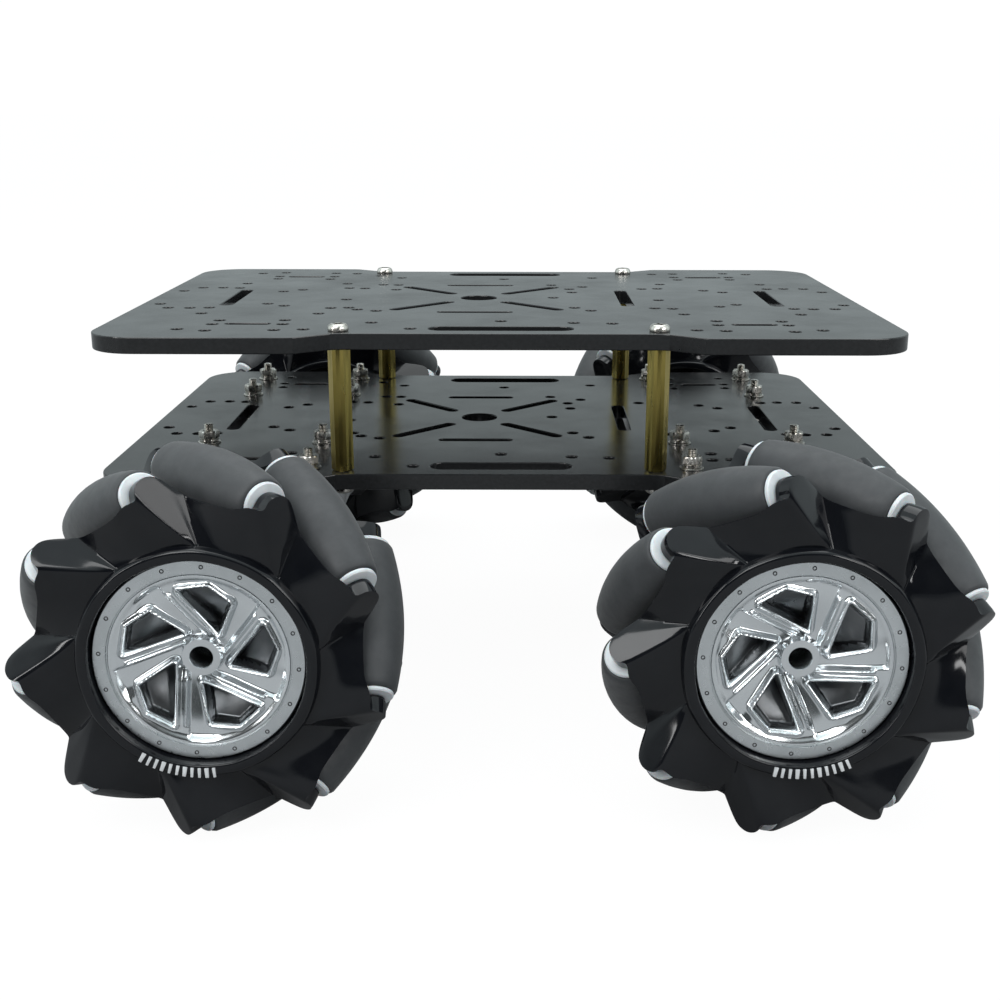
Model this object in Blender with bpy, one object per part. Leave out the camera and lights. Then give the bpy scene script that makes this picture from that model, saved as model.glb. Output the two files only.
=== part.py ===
"""Four-wheel mecanum robot platform: two hole-pattern deck plates on hex standoffs, four gear motors on
L brackets under the lower plate, and four mecanum wheels with nine free-turning barrel rollers each.

Frame: +X is the direction of travel, +Y the robot's left side, +Z up. The origin is the middle of the
wheels' footprint, on the floor. All sizes below are millimetres and are turned into metres at the end.
"""

import math

import bmesh
import bpy
from mathutils import Matrix, Vector

MM = 0.001
GAP = 0.3  # clearance between touching pieces

# ---- overall layout
WHEELBASE = 146.0
TRACK = 249.0  # between the wheels' middle planes
AXLE_Z = 48.5

# ---- mecanum wheel
WHEEL_R = 48.5
ROLLERS = 9
ROLLER_TILT = math.radians(45.0)
ROLLER_PITCH_R = 39.5  # radius of the rollers' middles
ROLLER_HALF = 19.3
ROLLER_SIDES = 10
ROLLER_RINGS = 4
ROLLER_BORE_R = 2.5
PIN_R = 1.5
PIN_HALF = 25.0
RING_R = 28.9  # where the flange's blades meet the lip round the rim
RECESS_R = 26.5
RIM_R = 25.6
RIM_FACE = 18.1
RIM_BORE_R = 2.8
WEB_FRONT, WEB_BACK = 2.0, -2.0
BOSS_R, BOSS_END = 9.0, -21.0
COUPLING_R, COUPLING_END = 6.9, -34.0
SHAFT_R, SHAFT_END = 3.0, -42.6

# One blade of the flange, from its valley to its ridge, in degrees clockwise of the roller's middle:
# (angle at the lip, angle at the outline, outline radius, outer height, inner height)
BLADE = (
    (1.5, -6.5, 41.0, 14.6, 11.4),
    (12.0, 4.0, 38.8, 17.6, 15.4),
    (21.0, 13.0, 40.2, 20.6, 18.9),
    (31.0, 19.5, 46.3, 20.6, 15.7),
    (38.5, 24.0, 45.5, 21.0, 13.2),
)
LIP_Z = 20.4
LIP_INNER_Z = 17.4

# ---- deck plates
PLATE_T = 4.6
LOWER_TOP = 77.3
UPPER_TOP = 117.4
PLATE_HALF_X = 114.0
PLATE_SHIFT = -1.0
PLATE_HALF_Y = 82.0
WAIST_HALF_Y = 74.5
WAIST_IN, WAIST_OUT = 46.2, 55.5
PLATE_CORNER_R = 14.0
M3_R = 1.6
CENTRE_HOLE = (-8.2, 0.0, 6.0)

# ---- hex standoffs
STANDOFF_X, STANDOFF_Y = 44.9, 69.4
STANDOFF_SHIFT = -1.3
STANDOFF_AF = 5.5

# ---- motors and their brackets
BRACKET_HOLE_X = 17.7
BRACKET_HOLE_Y = (36.5, 67.2)
BRACKET_W = 44.0
BRACKET_T = 2.5
BRACKET_IN, BRACKET_FACE = 31.0, 78.0
BRACKET_BOTTOM = 28.5
MOTOR_BOSS_R = 6.0

CORNERS = {
    "fr": (1, -1),
    "rr": (-1, -1),
    "fl": (1, 1),
    "rl": (-1, 1),
}
# Azimuth of each wheel's first roller, counter-clockwise seen from the wheel's outer side.
PHASE = {"fr": 39.5, "rr": 6.0, "fl": 22.0, "rl": 12.0}

for old in list(bpy.data.objects):
    bpy.data.objects.remove(old, do_unlink=True)


def material(name, colour, roughness, metallic):
    m = bpy.data.materials.new(name)
    m.use_nodes = True
    shader = m.node_tree.nodes["Principled BSDF"]
    shader.inputs["Base Color"].default_value = (*colour, 1.0)
    shader.inputs["Roughness"].default_value = roughness
    shader.inputs["Metallic"].default_value = metallic
    m.diffuse_color = (*colour, 1.0)
    return m


PLATE_MAT = material("black_plate", (0.03, 0.032, 0.034), 0.3, 0.0)
BRASS_MAT = material("brass", (0.72, 0.5, 0.16), 0.3, 1.0)
BRACKET_MAT = material("bracket_black", (0.03, 0.03, 0.032), 0.45, 0.6)
MOTOR_MAT = material("motor_steel", (0.55, 0.55, 0.56), 0.35, 1.0)
CORE_MAT = material("gloss_black", (0.012, 0.012, 0.014), 0.15, 0.0)
RIM_MAT = material("rim_silver", (0.72, 0.74, 0.76), 0.22, 1.0)
ROLLER_MAT = material("roller_rubber", (0.05, 0.052, 0.055), 0.7, 0.0)


def new_object(name, bm, mat, matrix=None, smooth_angle=35.0, parent=None):
    """Turns a bmesh drawn in millimetres into an object in metres."""
    bmesh.ops.recalc_face_normals(bm, faces=bm.faces)
    bmesh.ops.scale(bm, vec=(MM, MM, MM), verts=bm.verts)
    mesh = bpy.data.meshes.new(name)
    bm.to_mesh(mesh)
    bm.free()
    if mat:
        mesh.materials.append(mat)
    mesh.shade_smooth()
    mesh.set_sharp_from_angle(angle=math.radians(smooth_angle))
    obj = bpy.data.objects.new(name, mesh)
    bpy.context.scene.collection.objects.link(obj)
    if parent is not None:
        obj.parent = parent
    if matrix is not None:
        obj.matrix_local = matrix
    return obj


def helper(obj):
    obj.hide_render = True
    obj.display_type = "WIRE"
    return obj


def boolean(obj, other, operation):
    mod = obj.modifiers.new(operation.lower(), "BOOLEAN")
    mod.operation = operation
    mod.object = other
    mod.solver = "EXACT"
    return mod


def prism(bm, outline, low, high):
    """A closed prism over a counter-clockwise outline of (x, y) points."""
    bottom = [bm.verts.new((x, y, low)) for x, y in outline]
    top = [bm.verts.new((x, y, high)) for x, y in outline]
    bm.faces.new(bottom[::-1])
    bm.faces.new(top)
    n = len(outline)
    for i in range(n):
        j = (i + 1) % n
        bm.faces.new((bottom[i], bottom[j], top[j], top[i]))


def ngon(cx, cy, r, sides, turn=0.0):
    return [
        (
            cx + r * math.cos(turn + 2 * math.pi * i / sides),
            cy + r * math.sin(turn + 2 * math.pi * i / sides),
        )
        for i in range(sides)
    ]


def slot_outline(a, b, width, steps=2):
    """A round-ended slot from the point a to the point b, which are its two ends."""
    a, b = Vector(a), Vector(b)
    along = (b - a).normalized()
    r = width / 2
    a, b = a + along * r, b - along * r
    turn = math.atan2(along.y, along.x)
    points = []
    for centre, start in ((b, turn - math.pi / 2), (a, turn + math.pi / 2)):
        for i in range(steps + 1):
            t = start + math.pi * i / steps
            points.append((centre.x + r * math.cos(t), centre.y + r * math.sin(t)))
    return points


# ---------------------------------------------------------------- deck plates
def plate_outline(corner_steps=4):
    """The plate's outline, counter-clockwise: full width at both ends and narrower at the waist."""
    quarter = [(PLATE_HALF_X, 0.0)]
    cx, cy = PLATE_HALF_X - PLATE_CORNER_R, PLATE_HALF_Y - PLATE_CORNER_R
    for i in range(corner_steps + 1):
        t = math.pi / 2 * i / corner_steps
        quarter.append(
            (cx + PLATE_CORNER_R * math.cos(t), cy + PLATE_CORNER_R * math.sin(t))
        )
    quarter += [(WAIST_OUT, PLATE_HALF_Y), (WAIST_IN, WAIST_HALF_Y)]
    right = quarter[1:]
    left = [(-x, y) for x, y in reversed(right)]
    top = right + left
    outline = top + [(-x, -y) for x, y in top]
    return [(x + PLATE_SHIFT, y) for x, y in outline]


def mirrored(x, y):
    return [(x, y), (-x, y), (x, -y), (-x, -y)]


def bracket_holes():
    holes = []
    for sx, sy in CORNERS.values():
        for dx in (-BRACKET_HOLE_X, BRACKET_HOLE_X):
            for y in BRACKET_HOLE_Y:
                holes.append((sx * WHEELBASE / 2 + dx, sy * y))
    return holes


def grid_holes():
    """The main M3 clearance holes of the laser-cut pattern, mirrored about both centre lines."""
    holes = []
    for x, y in ((108.3, 16.0), (100.3, 24.6), (74.4, 15.2), (53.2, 24.4), (63.4, 50.4)):
        holes += mirrored(x, y)
    for x, y in ((0.0, 51.0), (-38.0, 32.0)):
        holes += [(x, y), (x, -y)]
    return holes


def slots():
    """(end, end, width) of every slot."""
    found = []
    for y in (65.0, -65.0):
        found.append(((-20.6, y), (20.6, y), 7.6))
    for x in (87.2, -87.2, 39.8):
        found.append(((x, -18.8), (x, 18.8), 3.8))
    for sx in (1, -1):
        for sy in (1, -1):
            found.append(((sx * 66.4, sy * 57.2), (sx * 79.6, sy * 57.2), 2.6))
    for sy in (1, -1):
        found.append(((-19.8, sy * 32.6), (3.2, sy * 32.6), 2.6))
        found.append(((-34.3, sy * 28.4), (-16.2, sy * 9.2), 3.4))
        found.append(((-0.2, sy * 9.2), (18.2, sy * 28.4), 3.4))
    return found


def deck_plate(name, top, holes):
    bm = bmesh.new()
    prism(bm, plate_outline(), top - PLATE_T, top)
    plate = new_object(name, bm, PLATE_MAT)
    bm = bmesh.new()
    low, high = top - PLATE_T - 1.0, top + 1.0
    for x, y in holes:
        prism(bm, ngon(x, y, M3_R, 6), low, high)
    x, y, r = CENTRE_HOLE
    prism(bm, ngon(x, y, r, 12), low, high)
    for a, b, width in slots():
        prism(bm, slot_outline(a, b, width, 3 if width > 5 else 2), low, high)
    cutter = helper(new_object(name + "_holes", bm, None))
    boolean(plate, cutter, "DIFFERENCE")
    return plate


standoff_holes = [
    (x + STANDOFF_SHIFT, y) for x, y in mirrored(STANDOFF_X, STANDOFF_Y)
]
deck_plate("lower_plate", LOWER_TOP, standoff_holes + bracket_holes())
deck_plate("upper_plate", UPPER_TOP, standoff_holes + bracket_holes() + grid_holes())

# ---------------------------------------------------------------- standoffs
for corner, (sx, sy) in CORNERS.items():
    bm = bmesh.new()
    prism(
        bm,
        ngon(0, 0, STANDOFF_AF / math.sqrt(3), 6),
        LOWER_TOP + GAP,
        UPPER_TOP - PLATE_T - GAP,
    )
    new_object(
        "standoff_" + corner,
        bm,
        BRASS_MAT,
        Matrix.Translation(
            ((sx * STANDOFF_X + STANDOFF_SHIFT) * MM, sy * STANDOFF_Y * MM, 0)
        ),
    )


# ---------------------------------------------------------------- motor brackets and motors
def bracket_mesh():
    """An L bracket drawn about the motor's axis, with +Y pointing out of the robot."""
    top = LOWER_TOP - PLATE_T - GAP
    outer = BRACKET_FACE
    profile = [
        (BRACKET_IN, top),
        (BRACKET_IN, top - BRACKET_T),
        (outer - BRACKET_T, top - BRACKET_T),
        (outer - BRACKET_T, BRACKET_BOTTOM),
        (outer, BRACKET_BOTTOM),
        (outer, top - 1.5),
        (outer - 1.5, top),
    ]
    bm = bmesh.new()
    left = [bm.verts.new((-BRACKET_W / 2, y, z)) for y, z in profile]
    right = [bm.verts.new((BRACKET_W / 2, y, z)) for y, z in profile]
    bm.faces.new(left)
    bm.faces.new(right[::-1])
    n = len(profile)
    for i in range(n):
        j = (i + 1) % n
        bm.faces.new((left[i], right[i], right[j], left[j]))
    return bm


def bracket_cutter_mesh():
    bm = bmesh.new()
    top = LOWER_TOP - PLATE_T
    for x in (-BRACKET_HOLE_X, BRACKET_HOLE_X):
        for y in BRACKET_HOLE_Y:
            prism(bm, ngon(x, y, M3_R, 6), top - 5, top + 2)
    shaft = bmesh.new()
    prism(shaft, ngon(0, 0, MOTOR_BOSS_R + 0.6, 12), -5, 5)
    # Lays the shaft hole along Y, at the axle.
    turn = Matrix.Translation((0, BRACKET_FACE - 1, AXLE_Z)) @ Matrix.Rotation(
        math.radians(-90), 4, "X"
    )
    shaft.transform(turn)
    scratch = bpy.data.meshes.new("scratch")
    shaft.to_mesh(scratch)
    shaft.free()
    bm.from_mesh(scratch)
    return bm


def turned(profile, sides):
    """A solid of revolution about Z. The profile runs from its low end to its high end, as (z, r)."""
    bm = bmesh.new()
    rings = [[bm.verts.new((x, y, z)) for x, y in ngon(0, 0, r, sides)] for z, r in profile]
    bm.faces.new(rings[0][::-1])
    bm.faces.new(rings[-1])
    for a, b in zip(rings, rings[1:]):
        for i in range(sides):
            j = (i + 1) % sides
            bm.faces.new((a[i], a[j], b[j], b[i]))
    return bm


MOTOR_PROFILE = (
    (9.0, 12.0),
    (12.0, 17.2),
    (50.0, 17.2),
    (50.4, 18.4),
    (BRACKET_FACE - BRACKET_T - GAP, 18.4),
    (BRACKET_FACE - BRACKET_T - GAP + 0.01, MOTOR_BOSS_R),
    (80.6, MOTOR_BOSS_R),
)

for corner, (sx, sy) in CORNERS.items():
    # Half a turn about Z carries the +Y side to the -Y side.
    side = Matrix.Rotation(0.0 if sy > 0 else math.pi, 4, "Z")
    place = Matrix.Translation((sx * WHEELBASE / 2 * MM, 0, 0)) @ side
    bracket = new_object("motor_bracket_" + corner, bracket_mesh(), BRACKET_MAT, place)
    cutter = helper(
        new_object("bracket_holes_" + corner, bracket_cutter_mesh(), None, place)
    )
    boolean(bracket, cutter, "DIFFERENCE")
    along_y = Matrix.Translation((0, 0, AXLE_Z * MM)) @ Matrix.Rotation(
        math.radians(-90), 4, "X"
    )
    new_object("motor_" + corner, turned(MOTOR_PROFILE, 16), MOTOR_MAT, place @ along_y)


# ---------------------------------------------------------------- mecanum wheels
def polar(r, degrees, z, hand):
    """A point of the wheel: degrees runs clockwise seen from the outer side on a wheel of hand +1."""
    t = math.radians(-hand * degrees)
    return (r * math.cos(t), r * math.sin(t), z)


def flange_columns():
    """The 45 columns of the outer flange, by rising angle: (lip angle, outline angle, radius, outer z, inner z)."""
    columns = []
    for k in range(ROLLERS):
        for lip, edge, r, outer, inner in BLADE:
            columns.append((40.0 * k + lip, 40.0 * k + edge, r, outer, inner))
    return columns


def core_mesh(hand):
    """Both flanges, the barrel, the web, the boss, the coupling and the output shaft, as one closed surface.

    The inner flange is the outer one turned half round about a roller's radial line, so its angles and
    heights change sign.
    """
    bm = bmesh.new()
    front = flange_columns()
    back = sorted((-lip % 360.0, (-edge), r, -outer, -inner) for lip, edge, r, outer, inner in front)
    # Carries each outline angle next to its lip angle.
    back = [
        (lip, edge + 360.0 * round((lip - edge) / 360.0), r, outer, inner)
        for lip, edge, r, outer, inner in back
    ]
    count = len(front)
    lips_front = [c[0] for c in front]
    lips_back = [c[0] for c in back]
    coarse = 3

    def ring(angles, radii, heights):
        return [
            bm.verts.new(polar(r, a, z, hand)) for a, r, z in zip(angles, radii, heights)
        ]

    def even(angles, r, z):
        return ring(angles, [r] * len(angles), [z] * len(angles))

    def few(angles):
        return angles[::coarse]

    rings = [
        even(few(lips_front), RIM_BORE_R, WEB_FRONT - 5.0),
        even(few(lips_front), RIM_BORE_R, WEB_FRONT),
        even(few(lips_front), RECESS_R, WEB_FRONT),
        even(lips_front, RECESS_R, LIP_Z),
        even(lips_front, RING_R, LIP_Z - 0.8),
        ring([c[1] for c in front], [c[2] for c in front], [c[3] for c in front]),
        ring([c[1] for c in front], [c[2] for c in front], [c[4] for c in front]),
        even(lips_front, RING_R, LIP_INNER_Z),
        even(lips_back, RING_R, -LIP_INNER_Z),
        ring([c[1] for c in back], [c[2] for c in back], [c[4] for c in back]),
        ring([c[1] for c in back], [c[2] for c in back], [c[3] for c in back]),
        even(lips_back, RING_R, -LIP_Z + 0.8),
        even(lips_back, RECESS_R, -LIP_Z),
        even(few(lips_back), RECESS_R, WEB_BACK),
        even(few(lips_back), BOSS_R, WEB_BACK),
        even(few(lips_back), BOSS_R, BOSS_END),
        even(few(lips_back), COUPLING_R, BOSS_END - 0.01),
        even(few(lips_back), COUPLING_R, COUPLING_END),
        even(few(lips_back), SHAFT_R, COUPLING_END - 0.01),
        even(few(lips_back), SHAFT_R, SHAFT_END),
    ]
    for a, b in zip(rings, rings[1:]):
        if len(a) == len(b):
            n = len(a)
            for i in range(n):
                j = (i + 1) % n
                # Two triangles, because these quads aren't flat.
                bm.faces.new((a[i], a[j], b[j]))
                bm.faces.new((a[i], b[j], b[i]))
            continue
        wide, narrow = (a, b) if len(a) > len(b) else (b, a)
        n, m = len(wide), len(narrow)
        for k in range(m):
            nk = (k + 1) % m
            for i in range(coarse):
                w0 = wide[(coarse * k + i) % n]
                w1 = wide[(coarse * k + i + 1) % n]
                bm.faces.new((w0, w1, narrow[k] if i < coarse - 1 else narrow[nk]))
            bm.faces.new((wide[(coarse * k + coarse - 1) % n], narrow[nk], narrow[k]))
    for cap, z in ((rings[0], WEB_FRONT - 5.0), (rings[-1], SHAFT_END)):
        centre = bm.verts.new((0, 0, z))
        for i in range(len(cap)):
            bm.faces.new((cap[i], cap[(i + 1) % len(cap)], centre))
    assert count == 45
    return bm


def roller_matrix(index, phase, hand):
    """Places a roller, whose own axis is Z, in its wheel's frame."""
    azimuth = math.radians(phase + 360.0 / ROLLERS * index)
    radial = Vector((math.cos(azimuth), math.sin(azimuth), 0))
    anticlockwise = Vector((-math.sin(azimuth), math.cos(azimuth), 0))
    axis = (
        -hand * math.sin(ROLLER_TILT) * anticlockwise
        + math.cos(ROLLER_TILT) * Vector((0, 0, 1))
    ).normalized()
    across = axis.cross(radial)
    turn = Matrix((radial, across, axis)).transposed().to_4x4()
    return Matrix.Translation(radial * ROLLER_PITCH_R * MM) @ turn


def roller_radius(s):
    """The barrel's radius at s along its axis, so that its outermost line lies on the wheel's cylinder."""
    return WHEEL_R - math.hypot(ROLLER_PITCH_R, s * math.sin(ROLLER_TILT))


def roller_mesh():
    bm = bmesh.new()
    stations = [
        -ROLLER_HALF + 2 * ROLLER_HALF * i / ROLLER_RINGS for i in range(ROLLER_RINGS + 1)
    ]
    outer = [
        [bm.verts.new((x, y, s)) for x, y in ngon(0, 0, roller_radius(s), ROLLER_SIDES)]
        for s in stations
    ]
    bore = [
        [bm.verts.new((x, y, s)) for x, y in ngon(0, 0, ROLLER_BORE_R, ROLLER_SIDES // 2)]
        for s in (-ROLLER_HALF, ROLLER_HALF)
    ]
    n, m = ROLLER_SIDES, ROLLER_SIDES // 2
    for a, b in zip(outer, outer[1:]):
        for i in range(n):
            j = (i + 1) % n
            bm.faces.new((a[i], a[j], b[j], b[i]))
    for i in range(m):
        j = (i + 1) % m
        bm.faces.new((bore[0][j], bore[0][i], bore[1][i], bore[1][j]))
    for out, inn, flip in ((outer[0], bore[0], True), (outer[-1], bore[1], False)):
        for k in range(m):
            nk = (k + 1) % m
            faces = (
                (out[2 * k], out[2 * k + 1], inn[k]),
                (out[2 * k + 1], out[(2 * k + 2) % n], inn[nk]),
                (out[2 * k + 1], inn[nk], inn[k]),
            )
            for f in faces:
                bm.faces.new(f[::-1] if flip else f)
    return bm


def pins_mesh(phase, hand):
    """The nine roller pins of one wheel, in the wheel's frame."""
    bm = bmesh.new()
    for k in range(ROLLERS):
        pin = bmesh.new()
        prism(pin, ngon(0, 0, PIN_R, 4), -PIN_HALF, PIN_HALF)
        m = roller_matrix(k, phase, hand)
        m.translation = m.translation / MM
        pin.transform(m)
        scratch = bpy.data.meshes.new("pin")
        pin.to_mesh(scratch)
        pin.free()
        bm.from_mesh(scratch)
    return bm


WINDOW_ARMS = 5


def rim_mesh():
    """The silver rim insert: a flat outer band, a dished floor and a bored centre boss."""
    profile = (
        (RIM_BORE_R, WEB_FRONT + GAP),
        (RIM_BORE_R, RIM_FACE - 4.4),
        (5.2, RIM_FACE - 4.4),
        (14.0, 9.5),
        (21.8, RIM_FACE - 0.4),
        (RIM_R, RIM_FACE),
        (RIM_R, 11.0),
        (15.0, 5.5),
        (5.8, WEB_FRONT + GAP),
    )
    sides = 15
    bm = bmesh.new()
    rings = [[bm.verts.new((x, y, z)) for x, y in ngon(0, 0, r, sides)] for r, z in profile]
    n = len(rings)
    for k in range(n):
        a, b = rings[k], rings[(k + 1) % n]
        for i in range(sides):
            j = (i + 1) % sides
            bm.faces.new((a[i], a[j], b[j], b[i]))
    return bm


def rim_windows_mesh(hand):
    """Five swept windows between the rim's arms."""
    bm = bmesh.new()
    for k in range(WINDOW_ARMS):
        turn = 360.0 / WINDOW_ARMS * k
        outline = [
            polar(r, turn + a, 0, hand)[:2]
            for r, a in ((7.8, 0.0), (19.0, 8.0), (19.0, 34.0), (13.0, 36.0))
        ]
        area = sum(
            x0 * y1 - x1 * y0
            for (x0, y0), (x1, y1) in zip(outline, outline[1:] + outline[:1])
        )
        prism(bm, outline if area > 0 else outline[::-1], 1.0, RIM_FACE + 2.0)
    return bm


for corner, (sx, sy) in CORNERS.items():
    hand = 1 if sy < 0 else -1
    phase = PHASE[corner]
    # The wheel's own +Z points out of the robot, and its +Y points up.
    out = Vector((0, sy, 0))
    up = Vector((0, 0, 1))
    x_axis = up.cross(out)
    turn = Matrix((x_axis, up, out)).transposed().to_4x4()
    hub = bpy.data.objects.new("wheel_" + corner, None)
    bpy.context.scene.collection.objects.link(hub)
    hub.matrix_world = (
        Matrix.Translation(
            (sx * WHEELBASE / 2 * MM, sy * TRACK / 2 * MM, AXLE_Z * MM)
        )
        @ turn
    )
    # The flange's blades follow the rollers' azimuths.
    blades = Matrix.Rotation(math.radians(phase), 4, "Z")
    core = new_object(
        "wheel_core_" + corner, core_mesh(hand), CORE_MAT, blades, 25.0, hub
    )
    pins = helper(
        new_object(
            "roller_pins_" + corner, pins_mesh(phase, hand), None, Matrix(), 35.0, hub
        )
    )
    boolean(core, pins, "UNION")
    rim = new_object("wheel_rim_" + corner, rim_mesh(), RIM_MAT, Matrix(), 30.0, hub)
    windows = helper(
        new_object("rim_windows_" + corner, rim_windows_mesh(1), None, Matrix(), 35.0, hub)
    )
    boolean(rim, windows, "DIFFERENCE")
    for k in range(ROLLERS):
        new_object(
            "roller_%s_%d" % (corner, k + 1),
            roller_mesh(),
            ROLLER_MAT,
            roller_matrix(k, phase, hand),
            35.0,
            hub,
        )
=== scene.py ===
"""Looks of the mecanum platform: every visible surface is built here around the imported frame."""

import math

import bmesh
import bpy
import numpy as np
from mathutils import Matrix, Vector


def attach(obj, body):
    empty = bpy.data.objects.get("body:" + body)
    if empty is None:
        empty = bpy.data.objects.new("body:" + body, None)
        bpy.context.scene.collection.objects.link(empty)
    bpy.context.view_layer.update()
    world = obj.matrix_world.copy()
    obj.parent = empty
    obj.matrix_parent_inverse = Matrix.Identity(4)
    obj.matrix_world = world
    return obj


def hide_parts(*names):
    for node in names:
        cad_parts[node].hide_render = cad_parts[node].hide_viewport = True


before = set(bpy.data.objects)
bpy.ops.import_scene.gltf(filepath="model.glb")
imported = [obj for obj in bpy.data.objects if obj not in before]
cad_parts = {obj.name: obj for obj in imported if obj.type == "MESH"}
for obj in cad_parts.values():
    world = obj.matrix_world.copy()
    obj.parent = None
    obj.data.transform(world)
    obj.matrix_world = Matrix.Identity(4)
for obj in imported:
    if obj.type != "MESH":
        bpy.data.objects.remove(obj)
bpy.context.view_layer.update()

MM = 0.001

# ------------------------------------------------------------------ layout, in millimetres, as in the CAD
WHEELBASE, TRACK, AXLE_Z = 146.0, 249.0, 48.5
CORNERS = {"fr": (1, -1), "rr": (-1, -1), "fl": (1, 1), "rl": (-1, 1)}
PHASE = {"fr": 39.5, "rr": 6.0, "fl": 22.0, "rl": 12.0}
# How far each rim insert, and the painted glints on each lip, are turned.
FACE_TURN = {"fr": 8.0, "rr": -16.0, "fl": 30.0, "rl": -5.0}
LIP_GLINT_TURN = {"fr": 7.0, "rr": -13.0, "fl": 0.0, "rl": 15.0}
ROLLERS, PITCH_R, WHEEL_R = 9, 39.5, 48.5
SQ = math.sqrt(0.5)
PLATE_T, LOWER_TOP, UPPER_TOP = 4.6, 77.3, 117.4
STANDOFF_X, STANDOFF_Y, STANDOFF_SHIFT = 44.9, 69.4, -1.3
PLATE_SHIFT = -1.0
BRACKET_X, BRACKET_Y = 17.7, (36.5, 67.2)
BRACKET_FACE = 78.0


# ------------------------------------------------------------------ node helpers
class Mat:
    """A Principled material whose detail comes from procedural nodes in object space."""

    def __init__(self, name, base, rough, metal=0.0, **sockets):
        self.m = bpy.data.materials.new(name)
        self.m.use_nodes = True
        self.t = self.m.node_tree
        self.p = self.t.nodes["Principled BSDF"]
        self.p.inputs["Base Color"].default_value = (*base, 1)
        self.p.inputs["Roughness"].default_value = rough
        self.p.inputs["Metallic"].default_value = metal
        for key, value in sockets.items():
            self.p.inputs[key.replace("_", " ")].default_value = value
        self.m.diffuse_color = (*base, 1)
        self.coord = self.t.nodes.new("ShaderNodeTexCoord")
        self.last_bump = None

    def mapped(self, scale=(1, 1, 1), rot=(0, 0, 0)):
        n = self.t.nodes.new("ShaderNodeMapping")
        n.inputs["Scale"].default_value = scale
        n.inputs["Rotation"].default_value = rot
        self.t.links.new(self.coord.outputs["Object"], n.inputs["Vector"])
        return n.outputs["Vector"]

    def noise(self, scale, detail=4.0, rough=0.55, stretch=(1, 1, 1), distort=0.0):
        n = self.t.nodes.new("ShaderNodeTexNoise")
        n.inputs["Scale"].default_value = scale
        n.inputs["Detail"].default_value = detail
        n.inputs["Roughness"].default_value = rough
        n.inputs["Distortion"].default_value = distort
        self.t.links.new(self.mapped(stretch), n.inputs["Vector"])
        return n.outputs["Fac"]

    def voronoi(self, scale, stretch=(1, 1, 1), feature="F1"):
        n = self.t.nodes.new("ShaderNodeTexVoronoi")
        n.feature = feature
        n.inputs["Scale"].default_value = scale
        self.t.links.new(self.mapped(stretch), n.inputs["Vector"])
        return n.outputs["Distance"]

    def ramp(self, fac, stops):
        n = self.t.nodes.new("ShaderNodeValToRGB")
        e = n.color_ramp.elements
        while len(e) > len(stops):
            e.remove(e[-1])
        while len(e) < len(stops):
            e.new(0.5)
        for el, (pos, col) in zip(e, stops):
            el.position = pos
            el.color = (*col, 1) if isinstance(col, tuple) else (col, col, col, 1)
        self.t.links.new(fac, n.inputs["Fac"])
        return n.outputs["Color"]

    def colour(self, fac, stops):
        self.t.links.new(self.ramp(fac, stops), self.p.inputs["Base Color"])
        return self

    def roughness(self, fac, low, high, start=0.3, end=0.7):
        self.t.links.new(
            self.ramp(fac, [(start, low), (end, high)]), self.p.inputs["Roughness"]
        )
        return self

    def bump(self, fac, strength, distance):
        n = self.t.nodes.new("ShaderNodeBump")
        n.inputs["Strength"].default_value = strength
        n.inputs["Distance"].default_value = distance
        self.t.links.new(fac, n.inputs["Height"])
        if self.last_bump is not None:
            self.t.links.new(self.last_bump, n.inputs["Normal"])
        self.last_bump = n.outputs["Normal"]
        self.t.links.new(self.last_bump, self.p.inputs["Normal"])
        return self


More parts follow.
